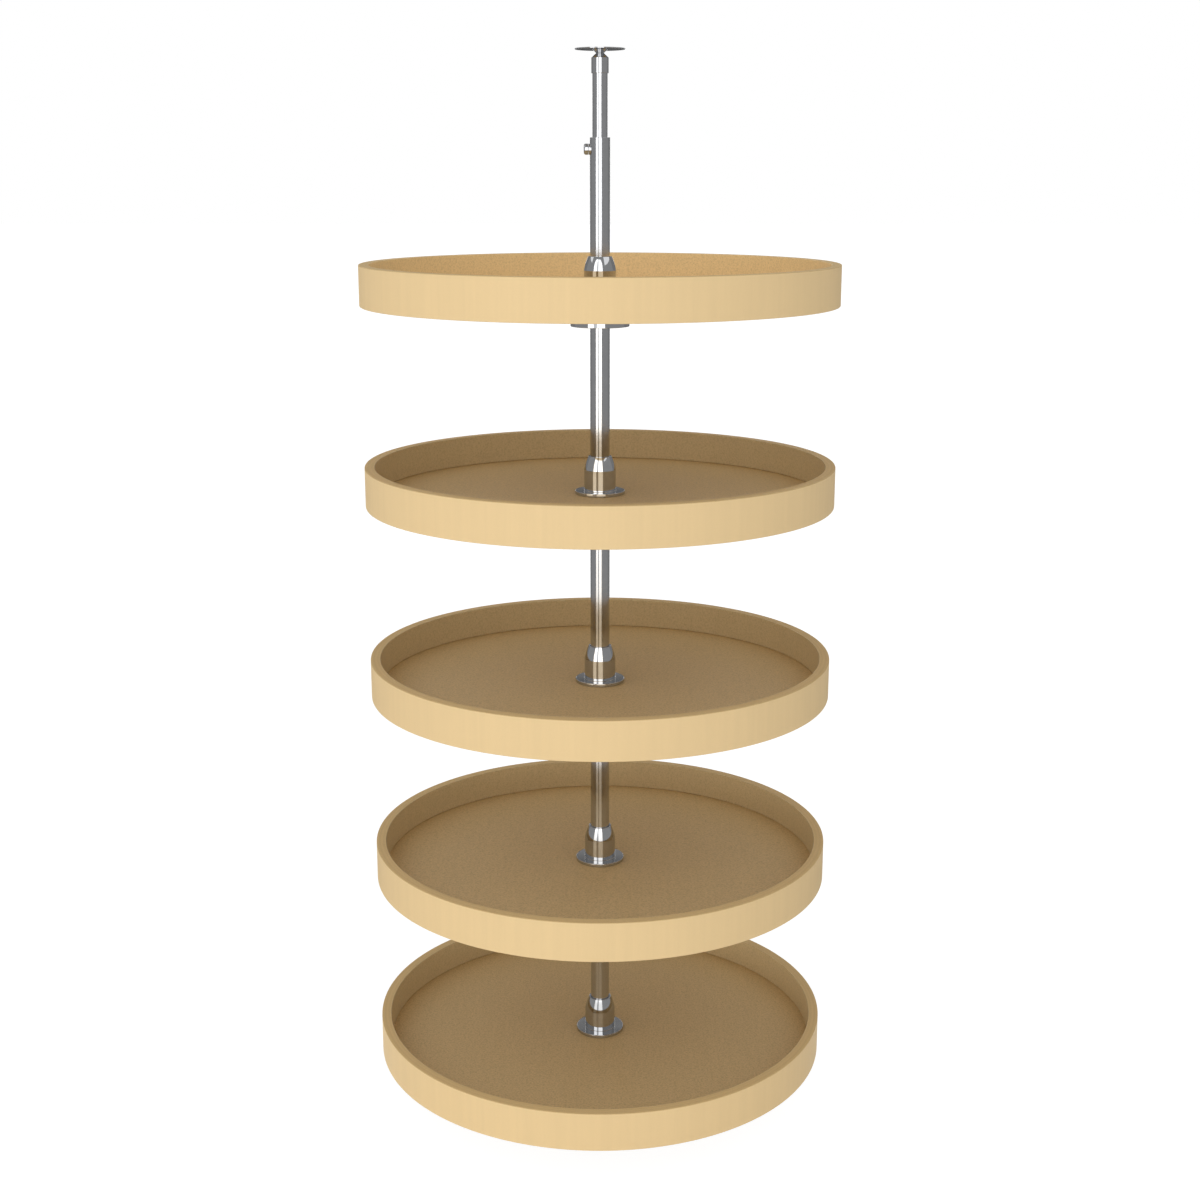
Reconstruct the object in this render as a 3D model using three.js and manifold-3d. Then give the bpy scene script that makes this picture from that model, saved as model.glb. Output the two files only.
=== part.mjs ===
// A rotating pantry carousel: five round wooden trays on one telescoping chromed post.
// Millimetres, +Z up. The origin is on the floor, under the middle of the post. The front is -Y.
// Every tray turns on a ball bearing that rests in a cup clamped to the post.
import * as THREE from "three";
import { mergeVertices } from "three/addons/utils/BufferGeometryUtils.js";
import Module from "manifold-3d";

const wasm = await Module();
wasm.setup();

// Driving dimensions

const GAP = 0.3; // between pieces that touch
const RUNNING = 0.4; // radial clearance round the post
const OVERRUN = 1; // of a drill past the face it leaves
const INSIDE_POST = 5; // from the post's axis, where drills and stubs that pass its wall start
const MERGE_DISTANCE = 1e-4;

// Sides of the turned pieces

const TRAY_SIDES = 48;
const PLATE_SIDES = 36;
const TUBE_SIDES = 32;
const CUP_SIDES = 28;
const HUB_SIDES = 24;
const SMALL_SIDES = 20; // bushes, bearings and the lock
const PIN_SIDES = 16;
const HOLE_SIDES = 12;
const HEX_SIDES = 6;
const SHOULDER_STEPS = 4;

// Trays

const TRAY_COUNT = 5;
const TRAY_SPACING = 255.7;
const LOWEST_TRAY_Z = 60; // floor to the bottom edge of the lowest tray
const TRAY_RADIUS = 304.8;
const WALL_HEIGHT = 51;
const WALL_THICKNESS = 13;
const REBATE_DEPTH = 5.5; // step in the wall's inner face that takes the board
const BOARD_TOP = 10; // above the tray's bottom edge
const BOARD_THICKNESS = 9.5;
const BOARD_HOLE_RADIUS = 18;

const HUB_FLANGE_RADIUS = 32.7;
const HUB_FLANGE_THICKNESS = 4.5;
const HUB_BARREL_RADIUS = 20.7;
const HUB_BARREL_HEIGHT = 32; // board to the crease
const HUB_HEIGHT = 49.6; // board to the top
const HUB_SHOULDER_RADIUS = 72; // of the arc from the crease to the top
const HUB_SHOULDER_LEAN = THREE.MathUtils.degToRad(10.5); // at the crease, off the vertical
const HUB_LIP_BORE = 13.2;
const BUSH_OUTER_RADIUS = 16;
const BUSH_BOTTOM = 0.9;
const BUSH_TOP = 49.7;

const PLATE_RADIUS = 55; // steel plate under the board
const PLATE_HOLE_RADIUS = 17.5;
const PLATE_THICKNESS = 2;
const BALL_RING_RADII = [24, 33];
const BALL_RING_THICKNESS = 3.5;
const RACE_RADII = [15, 35];
const RACE_THICKNESS = 2;
const CUP_RADIUS = 38;
const CUP_WALL = 2.5;
const CUP_BOTTOM = -28.2; // below the tray's bottom edge
const CUP_BOSS_RADIUS = 19.5;
const CUP_EDGE = 0.6;
const CUP_TOP_GAP = 1; // under the bearing plate
const SET_SCREW_RADIUS = 3;
const SET_SCREW_Z = -17;
const SET_SCREW_LENGTH = 6.5;
const HEX_KEY_RADIUS = 1.7;
const HEX_KEY_DEPTH = 3;

// Post

const POST_RADIUS = 12.7;
const POST_WALL = 1.5;
const POST_BOTTOM = 14;
const POST_TOP = 1288.2;
const MAST_RADIUS = 9.5;
const MAST_WALL = 1.2;
const MAST_BOTTOM = 1068.2;
const MAST_TOP = 1376;
const SLEEVE_LENGTH = 30;

const LOCK_Z = 1274;
const LOCK_THREAD_RADIUS = 3;
const LOCK_BOSS_RADIUS = 6.7;
const LOCK_BOSS_FACE = 14.5; // from the post's axis
const LOCK_HEAD_RADIUS = 6.8;
const LOCK_HEAD_END = 20.3; // from the post's axis
const LOCK_HEAD_ROUND = 2.4;

const CAP_RADIUS = 10.8;
const CAP_BOTTOM = 1365;
const CAP_SHOULDER = 1383.6;
const NECK_RADIUS = 5.2;
const NECK_Z = 1388.7;
const CAP_EDGE = 0.4;
const PIVOT_RADIUS = 3;
const PIVOT_HEAD_RADIUS = 5.5;
const PIVOT_HEAD_THICKNESS = 2;
const SOCKET_RADIUS = 9.1;
const CEILING_PLATE_RADIUS = 31.3;
const CEILING_PLATE_THICKNESS = 1.2;
const TOTAL_HEIGHT = 1394.6;
const CEILING_HOLE_RADIUS = 2.2;
const CEILING_HOLE_CIRCLE = 22;
const CEILING_HOLES = 3;

// Floor fitting

const FLOOR_PLATE_RADIUS = 50;
const FLOOR_PLATE_THICKNESS = 4;
const FLOOR_PLATE_EDGE = 1;
const FLOOR_HOLE_RADIUS = 2.6;
const FLOOR_HOLE_CIRCLE = 38;
const FLOOR_HOLES = 4;
const FLOOR_PIN_RADIUS = 6;
const FLOOR_PIN_FOOT_RADIUS = 10;
const FLOOR_PIN_FOOT_THICKNESS = 2.7;
const FLOOR_PIN_TOP = 36;
const WASHER_THICKNESS = 2.4;
const WASHER_CLEARANCE = 1; // round the pin
const PLUG_FLANGE_RADIUS = 14;
const PLUG_FLANGE_THICKNESS = 3.7;
const PLUG_TOP = 45;

// Finishes

const wood = () => new THREE.MeshStandardMaterial({ color: 0xebcd9b, roughness: 0.6, metalness: 0 });
const chrome = () => new THREE.MeshStandardMaterial({ color: 0xc9cbce, roughness: 0.08, metalness: 1 });
const steel = () => new THREE.MeshStandardMaterial({ color: 0x9da0a3, roughness: 0.35, metalness: 1 });
const nylon = () => new THREE.MeshStandardMaterial({ color: 0xe8e6df, roughness: 0.5, metalness: 0 });

// Shapes

// A solid of revolution about Z. The profile is a list of [radius, z] that runs anticlockwise.
function turned(profile, segments) {
  const points = profile.map(([radius, z]) => new THREE.Vector2(radius, z));
  const onAxis = profile[0][0] === 0;
  if (!onAxis) points.push(points[0].clone());
  return new THREE.LatheGeometry(points, segments).rotateX(Math.PI / 2);
}

// A flat ring or tube between two radii and two heights.
function ring(inner, outer, bottom, top, segments) {
  const profile = [
    [inner, bottom],
    [outer, bottom],
    [outer, top],
    [inner, top],
  ];
  return turned(profile, segments);
}

// A rod along Z between two heights.
function rod(radius, bottom, top, segments) {
  const profile = [
    [0, bottom],
    [radius, bottom],
    [radius, top],
    [0, top],
  ];
  return turned(profile, segments);
}

function solidOf(geometry) {
  const bare = geometry.clone().deleteAttribute("normal").deleteAttribute("uv");
  const merged = mergeVertices(bare, MERGE_DISTANCE);
  const vertProperties = merged.attributes.position.array;
  const triVerts = new Uint32Array(merged.index.array);
  return new wasm.Manifold(new wasm.Mesh({ numProp: 3, vertProperties, triVerts }));
}

function geometryOf(solid) {
  const mesh = solid.getMesh();
  return new THREE.BufferGeometry()
    .setAttribute("position", new THREE.BufferAttribute(mesh.vertProperties, 3))
    .setIndex(new THREE.BufferAttribute(mesh.triVerts, 1));
}

// The geometry with each of the tools cut out of it.
function cut(geometry, tools) {
  const body = tools.reduce((left, tool) => left.subtract(solidOf(tool)), solidOf(geometry));
  return geometryOf(body);
}

// Upright drills on a circle round the axis.
function drills(count, circle, radius, bottom, top) {
  return Array.from({ length: count }, (_, i) => {
    const angle = (2 * Math.PI * (i + 0.5)) / count;
    const drill = rod(radius, bottom, top, HOLE_SIDES);
    return drill.translate(circle * Math.cos(angle), circle * Math.sin(angle), 0);
  });
}

// Outward arc of the hub's shoulder, from the crease to the top.
function shoulderArc(crease, top) {
  const start = Math.sin(HUB_SHOULDER_LEAN);
  return Array.from({ length: SHOULDER_STEPS }, (_, i) => {
    const rise = ((top - crease) * (i + 1)) / SHOULDER_STEPS;
    const sine = start + rise / HUB_SHOULDER_RADIUS;
    const drop = HUB_SHOULDER_RADIUS * (Math.cos(HUB_SHOULDER_LEAN) - Math.sqrt(1 - sine * sine));
    return [HUB_BARREL_RADIUS - drop, crease + rise];
  });
}

function piece(name, geometry, material) {
  const mesh = new THREE.Mesh(geometry, material);
  mesh.name = name;
  return mesh;
}

// One tray, with heights from its bottom edge

function trayRim() {
  const innerRadius = TRAY_RADIUS - WALL_THICKNESS;
  const rebateTop = BOARD_TOP + GAP;
  const profile = [
    [innerRadius + REBATE_DEPTH, 0],
    [TRAY_RADIUS, 0],
    [TRAY_RADIUS, WALL_HEIGHT],
    [innerRadius, WALL_HEIGHT],
    [innerRadius, rebateTop],
    [innerRadius + REBATE_DEPTH, rebateTop],
  ];
  return turned(profile, TRAY_SIDES);
}

function trayBoard() {
  const radius = TRAY_RADIUS - WALL_THICKNESS + REBATE_DEPTH - GAP;
  return ring(BOARD_HOLE_RADIUS, radius, BOARD_TOP - BOARD_THICKNESS, BOARD_TOP, TRAY_SIDES);
}

function topHub() {
  const seat = BOARD_TOP + GAP;
  const flangeTop = seat + HUB_FLANGE_THICKNESS;
  const crease = BOARD_TOP + HUB_BARREL_HEIGHT;
  const top = BOARD_TOP + HUB_HEIGHT;
  const bushSeat = BUSH_TOP + GAP;
  const profile = [
    [BUSH_OUTER_RADIUS + GAP, seat],
    [HUB_FLANGE_RADIUS, seat],
    [HUB_FLANGE_RADIUS, flangeTop],
    [HUB_BARREL_RADIUS, flangeTop],
    [HUB_BARREL_RADIUS, crease],
    ...shoulderArc(crease, top),
    [HUB_LIP_BORE, top],
    [HUB_LIP_BORE, bushSeat],
    [BUSH_OUTER_RADIUS + GAP, bushSeat],
  ];
  return turned(profile, HUB_SIDES);
}

function bush() {
  return ring(POST_RADIUS + RUNNING, BUSH_OUTER_RADIUS, BUSH_BOTTOM, BUSH_TOP, SMALL_SIDES);
}

const plateTop = BOARD_TOP - BOARD_THICKNESS - GAP;
const plateBottom = plateTop - PLATE_THICKNESS;
const ballRingBottom = plateBottom - GAP - BALL_RING_THICKNESS;
const raceBottom = ballRingBottom - GAP - RACE_THICKNESS;

function bearingPlate() {
  return ring(PLATE_HOLE_RADIUS, PLATE_RADIUS, plateBottom, plateTop, HUB_SIDES);
}

function ballRing() {
  return ring(...BALL_RING_RADII, ballRingBottom, plateBottom - GAP, SMALL_SIDES);
}

function lowerRace() {
  return ring(...RACE_RADII, raceBottom, ballRingBottom - GAP, SMALL_SIDES);
}

function supportCup() {
  const bossTop = raceBottom - GAP;
  const wallTop = plateBottom - CUP_TOP_GAP;
  const cupFloor = CUP_BOTTOM + CUP_WALL;
  const profile = [
    [POST_RADIUS + RUNNING, CUP_BOTTOM],
    [CUP_RADIUS - CUP_EDGE, CUP_BOTTOM],
    [CUP_RADIUS, CUP_BOTTOM + CUP_EDGE],
    [CUP_RADIUS, wallTop],
    [CUP_RADIUS - CUP_WALL, wallTop],
    [CUP_RADIUS - CUP_WALL, cupFloor],
    [CUP_BOSS_RADIUS, cupFloor],
    [CUP_BOSS_RADIUS, bossTop],
    [POST_RADIUS + RUNNING, bossTop],
  ];
  const screwHole = rod(SET_SCREW_RADIUS + GAP, INSIDE_POST, CUP_RADIUS + OVERRUN, HOLE_SIDES);
  screwHole.rotateX(-Math.PI / 2).translate(0, 0, SET_SCREW_Z);
  return cut(turned(profile, CUP_SIDES), [screwHole]);
}

function setScrew() {
  const tip = POST_RADIUS + GAP;
  const end = tip + SET_SCREW_LENGTH;
  const body = rod(SET_SCREW_RADIUS, tip, end, HOLE_SIDES);
  const socket = rod(HEX_KEY_RADIUS, end - HEX_KEY_DEPTH, end + OVERRUN, HEX_SIDES);
  return cut(body, [socket]).rotateX(-Math.PI / 2).translate(0, 0, SET_SCREW_Z);
}

function shelf(number) {
  const group = new THREE.Group();
  const named = (part) => `shelf_${number}_${part}`;
  group.add(
    piece(named("rim"), trayRim(), wood()),
    piece(named("board"), trayBoard(), wood()),
    piece(named("top_hub"), topHub(), chrome()),
    piece(named("bush"), bush(), nylon()),
    piece(named("bearing_plate"), bearingPlate(), steel()),
    piece(named("ball_ring"), ballRing(), steel()),
    piece(named("lower_race"), lowerRace(), steel()),
    piece(named("support_cup"), supportCup(), chrome()),
    piece(named("set_screw"), setScrew(), steel()),
  );
  group.position.z = LOWEST_TRAY_Z + (TRAY_COUNT - number) * TRAY_SPACING;
  return group;
}

// The post and its lower pivot

function lockDrill() {
  const drill = rod(LOCK_THREAD_RADIUS + GAP, INSIDE_POST, LOCK_HEAD_END, HOLE_SIDES);
  return drill.rotateY(-Math.PI / 2).translate(0, 0, LOCK_Z);
}

function outerTube() {
  const tube = ring(POST_RADIUS - POST_WALL, POST_RADIUS, POST_BOTTOM, POST_TOP, TUBE_SIDES);
  return cut(tube, [lockDrill()]);
}

function guideSleeve() {
  const outer = POST_RADIUS - POST_WALL - GAP;
  const top = POST_TOP - GAP;
  const sleeve = ring(MAST_RADIUS + GAP, outer, top - SLEEVE_LENGTH, top, HUB_SIDES);
  return cut(sleeve, [lockDrill()]);
}

function bottomPlug() {
  const flangeTop = POST_BOTTOM - GAP;
  const flangeBottom = flangeTop - PLUG_FLANGE_THICKNESS;
  const bore = FLOOR_PIN_RADIUS + GAP;
  const outer = POST_RADIUS - POST_WALL - GAP;
  const profile = [
    [0, FLOOR_PIN_TOP + GAP],
    [bore, FLOOR_PIN_TOP + GAP],
    [bore, flangeBottom],
    [PLUG_FLANGE_RADIUS, flangeBottom],
    [PLUG_FLANGE_RADIUS, flangeTop],
    [outer, flangeTop],
    [outer, PLUG_TOP],
    [0, PLUG_TOP],
  ];
  return turned(profile, HUB_SIDES);
}

function floorWasher() {
  const bottom = FLOOR_PLATE_THICKNESS + GAP + FLOOR_PIN_FOOT_THICKNESS + GAP;
  const inner = FLOOR_PIN_RADIUS + WASHER_CLEARANCE;
  return ring(inner, POST_RADIUS, bottom, bottom + WASHER_THICKNESS, HUB_SIDES);
}

function floorPin() {
  const foot = FLOOR_PLATE_THICKNESS + GAP;
  const profile = [
    [0, foot],
    [FLOOR_PIN_FOOT_RADIUS, foot],
    [FLOOR_PIN_FOOT_RADIUS, foot + FLOOR_PIN_FOOT_THICKNESS],
    [FLOOR_PIN_RADIUS, foot + FLOOR_PIN_FOOT_THICKNESS],
    [FLOOR_PIN_RADIUS, FLOOR_PIN_TOP],
    [0, FLOOR_PIN_TOP],
  ];
  return turned(profile, SMALL_SIDES);
}

function floorPlate() {
  const profile = [
    [0, 0],
    [FLOOR_PLATE_RADIUS, 0],
    [FLOOR_PLATE_RADIUS, FLOOR_PLATE_THICKNESS - FLOOR_PLATE_EDGE],
    [FLOOR_PLATE_RADIUS - FLOOR_PLATE_EDGE, FLOOR_PLATE_THICKNESS],
    [0, FLOOR_PLATE_THICKNESS],
  ];
  const drillTop = FLOOR_PLATE_THICKNESS + OVERRUN;
  const holes = drills(FLOOR_HOLES, FLOOR_HOLE_CIRCLE, FLOOR_HOLE_RADIUS, -OVERRUN, drillTop);
  return cut(turned(profile, PLATE_SIDES), holes);
}

// The lock screw in its boss, on the post's -X side

function lockBoss() {
  const boss = rod(LOCK_BOSS_RADIUS, INSIDE_POST, LOCK_BOSS_FACE, SMALL_SIDES);
  boss.rotateY(-Math.PI / 2).translate(0, 0, LOCK_Z);
  const reach = 2 * LOCK_BOSS_RADIUS;
  const post = rod(POST_RADIUS + GAP, LOCK_Z - reach, LOCK_Z + reach, TUBE_SIDES);
  return cut(boss, [post, lockDrill()]);
}

function lockScrew() {
  const face = LOCK_BOSS_FACE + GAP;
  const edge = LOCK_HEAD_ROUND;
  const rounded = [0, 30, 60, 90].map((degrees) => {
    const turn = THREE.MathUtils.degToRad(degrees);
    const radius = LOCK_HEAD_RADIUS - edge * (1 - Math.cos(turn));
    return [radius, LOCK_HEAD_END - edge * (1 - Math.sin(turn))];
  });
  const profile = [
    [0, MAST_RADIUS + GAP],
    [LOCK_THREAD_RADIUS, MAST_RADIUS + GAP],
    [LOCK_THREAD_RADIUS, face],
    [LOCK_HEAD_RADIUS, face],
    ...rounded,
    [0, LOCK_HEAD_END],
  ];
  const socketBottom = LOCK_HEAD_END - HEX_KEY_DEPTH;
  const socket = rod(HEX_KEY_RADIUS, socketBottom, LOCK_HEAD_END + OVERRUN, HEX_SIDES);
  const screw = cut(turned(profile, SMALL_SIDES), [socket]);
  return screw.rotateY(-Math.PI / 2).translate(0, 0, LOCK_Z);
}

// The sliding mast and its upper pivot

function innerTube() {
  return ring(MAST_RADIUS - MAST_WALL, MAST_RADIUS, MAST_BOTTOM, MAST_TOP, HUB_SIDES);
}

function topCap() {
  const bore = MAST_RADIUS + GAP;
  const boreTop = MAST_TOP + GAP;
  const pinHole = PIVOT_RADIUS + GAP;
  const profile = [
    [bore, CAP_BOTTOM],
    [CAP_RADIUS - CAP_EDGE, CAP_BOTTOM],
    [CAP_RADIUS, CAP_BOTTOM + CAP_EDGE],
    [CAP_RADIUS, CAP_SHOULDER - CAP_EDGE],
    [CAP_RADIUS - CAP_EDGE, CAP_SHOULDER],
    [NECK_RADIUS, NECK_Z],
    [pinHole, NECK_Z],
    [pinHole, boreTop],
    [bore, boreTop],
  ];
  return turned(profile, HUB_SIDES);
}

function pivotPin() {
  const headTop = MAST_TOP;
  const headBottom = headTop - PIVOT_HEAD_THICKNESS;
  const top = TOTAL_HEIGHT - CEILING_PLATE_THICKNESS - GAP;
  const profile = [
    [0, headBottom],
    [PIVOT_HEAD_RADIUS, headBottom],
    [PIVOT_HEAD_RADIUS, headTop],
    [PIVOT_RADIUS, headTop],
    [PIVOT_RADIUS, top],
    [0, top],
  ];
  return turned(profile, PIN_SIDES);
}

function ceilingSocket() {
  const bottom = NECK_Z + GAP;
  const top = TOTAL_HEIGHT - CEILING_PLATE_THICKNESS - GAP;
  const profile = [
    [PIVOT_RADIUS + GAP, bottom],
    [NECK_RADIUS, bottom],
    [SOCKET_RADIUS, top],
    [PIVOT_RADIUS + GAP, top],
  ];
  return turned(profile, HUB_SIDES);
}

function ceilingPlate() {
  const bottom = TOTAL_HEIGHT - CEILING_PLATE_THICKNESS;
  const plate = rod(CEILING_PLATE_RADIUS, bottom, TOTAL_HEIGHT, PLATE_SIDES);
  const drillBottom = bottom - OVERRUN;
  const drillTop = TOTAL_HEIGHT + OVERRUN;
  const holes = drills(CEILING_HOLES, CEILING_HOLE_CIRCLE, CEILING_HOLE_RADIUS, drillBottom, drillTop);
  return cut(plate, holes);
}

// The whole carousel

const carousel = new THREE.Group();
carousel.add(
  piece("floor_plate", floorPlate(), steel()),
  piece("floor_pivot_pin", floorPin(), steel()),
  piece("floor_thrust_washer", floorWasher(), nylon()),
  piece("post_bottom_plug", bottomPlug(), nylon()),
  piece("post_outer_tube", outerTube(), chrome()),
  piece("post_guide_sleeve", guideSleeve(), nylon()),
  piece("lock_boss", lockBoss(), chrome()),
  piece("lock_screw", lockScrew(), chrome()),
  piece("post_inner_tube", innerTube(), chrome()),
  piece("top_cap", topCap(), chrome()),
  piece("top_pivot_pin", pivotPin(), steel()),
  piece("ceiling_socket", ceilingSocket(), chrome()),
  piece("ceiling_plate", ceilingPlate(), chrome()),
);
for (let number = 1; number <= TRAY_COUNT; number += 1) carousel.add(shelf(number));

export default carousel;
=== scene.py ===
"""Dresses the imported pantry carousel: bent maple trays, chromed hubs and post, plain studio."""

import math

import bmesh
import bpy
from bpy.props import FloatProperty, FloatVectorProperty, IntProperty, PointerProperty
from mathutils import Matrix, Vector


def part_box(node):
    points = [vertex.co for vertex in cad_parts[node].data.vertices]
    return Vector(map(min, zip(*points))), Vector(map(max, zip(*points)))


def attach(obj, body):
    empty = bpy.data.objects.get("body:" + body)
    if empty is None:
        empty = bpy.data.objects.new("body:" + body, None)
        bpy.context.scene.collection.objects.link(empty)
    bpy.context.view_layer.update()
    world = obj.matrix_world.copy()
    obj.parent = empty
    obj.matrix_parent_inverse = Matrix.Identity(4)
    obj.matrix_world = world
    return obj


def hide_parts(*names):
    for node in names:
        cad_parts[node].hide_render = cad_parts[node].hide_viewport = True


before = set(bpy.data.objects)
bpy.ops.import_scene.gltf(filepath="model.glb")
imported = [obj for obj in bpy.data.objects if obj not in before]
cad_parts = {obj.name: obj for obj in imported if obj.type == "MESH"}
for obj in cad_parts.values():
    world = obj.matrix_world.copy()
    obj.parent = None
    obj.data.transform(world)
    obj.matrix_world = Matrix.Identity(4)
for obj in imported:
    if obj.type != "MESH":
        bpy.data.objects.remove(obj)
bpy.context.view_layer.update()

bl_info = {
    "name": "Pantry carousel",
    "version": (1, 0, 0),
    "blender": (4, 5, 0),
    "location": "View3D > Sidebar > Carousel",
    "description": "Builds the trays, hubs, post and studio of a rotating pantry carousel",
    "category": "Object",
}

SHELVES = range(1, 6)
MM = 0.001

# Small sizes that repeat
HAIRLINE = 0.05 * MM  # left between pieces that rest on each other
DEBURRED = 0.3 * MM  # a cut edge with its burr taken off
EASED = 0.5 * MM  # a turned edge, softened with emery
PRESSED = 0.8 * MM  # an edge of pressed or drawn sheet


# Frame sizes


def low(node):
    """The corner of a node's box with the lowest x, y and z."""
    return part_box(node)[0]


def high(node):
    """The corner of a node's box with the highest x, y and z."""
    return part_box(node)[1]


def radius_of(node):
    """Outer radius of a node turned about the post's axis."""
    return high(node)[0]


# Colours and material nodes


def srgb(code):
    """An sRGB hex value as linear RGB."""
    channels = [int(code[i : i + 2], 16) / 255 for i in (1, 3, 5)]
    return [c / 12.92 if c <= 0.04045 else ((c + 0.055) / 1.055) ** 2.4 for c in channels]


def rgba(colour):
    """The colour with full opacity, as the nodes take it."""
    return (*list(colour)[:3], 1.0)


def shade(colour, factor):
    """The colour made lighter or darker, with its hue kept."""
    return [channel * factor for channel in list(colour)[:3]]


def add_node(tree, kind, settings=None, links=None):
    """Adds a node. Settings name its properties or sockets, and links its input sockets."""
    node = tree.nodes.new(kind)
    for name, value in (settings or {}).items():
        if isinstance(name, str) and hasattr(node, name):
            setattr(node, name, value)
        else:
            node.inputs[name].default_value = value
    for name, socket in (links or {}).items():
        tree.links.new(socket, node.inputs[name])
    return node


def new_material(name):
    """An empty node material with its output, and its tree."""
    material = bpy.data.materials.new(name)
    material.use_nodes = True
    material.node_tree.nodes.clear()
    return material, material.node_tree


def finish_material(tree, shader):
    """Puts the shader on the material's output."""
    add_node(tree, "ShaderNodeOutputMaterial", links={"Surface": shader.outputs[0]})


def set_tones(node, *tones):
    """Gives a colour ramp its (position, colour) stops."""
    elements = node.color_ramp.elements
    while len(elements) < len(tones):
        elements.new(0.5)
    for element, (position, colour) in zip(elements, tones):
        element.position = position
        element.color = rgba(colour)


def measured(tree, x, y, z):
    """Object coordinates counted in a pattern's real size along each axis."""
    place = add_node(tree, "ShaderNodeTexCoord")
    settings = {"Scale": (1 / x, 1 / y, 1 / z)}
    return add_node(tree, "ShaderNodeMapping", settings, {"Vector": place.outputs["Object"]})


# Materials


def maple_veneer(name, colour, streak_size, streak_depth, fleck_depth):
    """Rotary-cut maple veneer, sanded and lacquered: close, soft streaks and short flecks."""
    material, tree = new_material(name)
    streaks = measured(tree, *streak_size)
    streak = add_node(
        tree,
        "ShaderNodeTexNoise",
        {"Scale": 1.0, "Detail": 4.0, "Roughness": 0.6, "Distortion": 0.35},
        {"Vector": streaks.outputs[0]},
    )
    # Real flecks are about 1 mm long, too fine to show, and are drawn coarser
    fleck_size = 2.4 * MM
    flecks = measured(tree, fleck_size, fleck_size, fleck_size)
    fleck = add_node(
        tree,
        "ShaderNodeTexNoise",
        {"Scale": 1.0, "Detail": 3.0, "Roughness": 0.75},
        {"Vector": flecks.outputs[0]},
    )
    streaked = add_node(tree, "ShaderNodeValToRGB", links={"Fac": streak.outputs["Fac"]})
    pale, dark = shade(colour, 1 + streak_depth), shade(colour, 1 - streak_depth)
    set_tones(streaked, (0.3, dark), (0.7, pale))
    flecked = add_node(tree, "ShaderNodeValToRGB", links={"Fac": fleck.outputs["Fac"]})
    pale, dark = [1 + 0.5 * fleck_depth] * 3, [1 - fleck_depth] * 3
    set_tones(flecked, (0.34, dark), (0.5, [1.0] * 3), (0.66, pale))
    mixed = add_node(
        tree,
        "ShaderNodeMix",
        {"data_type": "RGBA", "blend_type": "MULTIPLY", 0: 1.0},
        {6: streaked.outputs["Color"], 7: flecked.outputs["Color"]},
    )
    bump = add_node(
        tree,
        "ShaderNodeBump",
        {"Strength": 0.12, "Distance": 0.08 * MM},
        {"Height": fleck.outputs["Fac"]},
    )
    roughness = add_node(
        tree,
        "ShaderNodeMapRange",
        {"From Min": 0.3, "From Max": 0.7, "To Min": 0.5, "To Max": 0.62},
        {"Value": fleck.outputs["Fac"]},
    )
    shader = add_node(
        tree,
        "ShaderNodeBsdfPrincipled",
        {"IOR": 1.45, "Specular IOR Level": 0.25},
        {
            "Base Color": mixed.outputs[2],
            "Roughness": roughness.outputs[0],
            "Normal": bump.outputs[0],
        },
    )
    finish_material(tree, shader)
    return material


def plywood_edge(name, colour):
    """Sanded plywood edge: thin concentric plies, every other one end grain and darker."""
    material, tree = new_material(name)
    place = add_node(tree, "ShaderNodeTexCoord")
    flat = add_node(
        tree,
        "ShaderNodeVectorMath",
        {"operation": "MULTIPLY", 1: (1, 1, 0)},
        {0: place.outputs["Object"]},
    )
    across = add_node(
        tree, "ShaderNodeVectorMath", {"operation": "LENGTH"}, {0: flat.outputs[0]}
    )
    # Real plies are about 1.5 mm thick, and are drawn thicker so that they show
    ply = 2.6 * MM
    phase = add_node(
        tree,
        "ShaderNodeMath",
        {"operation": "MULTIPLY", 1: math.tau / (2 * ply)},
        {0: across.outputs["Value"]},
    )
    wave = add_node(tree, "ShaderNodeMath", {"operation": "SINE"}, {0: phase.outputs[0]})
    fibre_size = 1.5 * MM
    fibres = measured(tree, fibre_size, fibre_size, fibre_size)
    fibre = add_node(
        tree, "ShaderNodeTexNoise", {"Scale": 1.0, "Detail": 3.0}, {"Vector": fibres.outputs[0]}
    )
    plies = add_node(
        tree,
        "ShaderNodeMapRange",
        {"From Min": -0.4, "From Max": 0.4, "To Min": 0.95, "To Max": 1.0},
        {"Value": wave.outputs[0]},
    )
    grain = add_node(
        tree,
        "ShaderNodeMapRange",
        {"From Min": 0.3, "From Max": 0.7, "To Min": 0.94, "To Max": 1.04},
        {"Value": fibre.outputs["Fac"]},
    )
    factor = add_node(
        tree,
        "ShaderNodeMath",
        {"operation": "MULTIPLY"},
        {0: plies.outputs[0], 1: grain.outputs[0]},
    )
    toned = add_node(
        tree,
        "ShaderNodeVectorMath",
        {"operation": "SCALE", 0: list(colour)[:3]},
        {3: factor.outputs[0]},
    )
    shader = add_node(
        tree,
        "ShaderNodeBsdfPrincipled",
        {"IOR": 1.45, "Specular IOR Level": 0.25, "Roughness": 0.62},
        {"Base Color": toned.outputs[0]},
    )
    finish_material(tree, shader)
    return material


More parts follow.
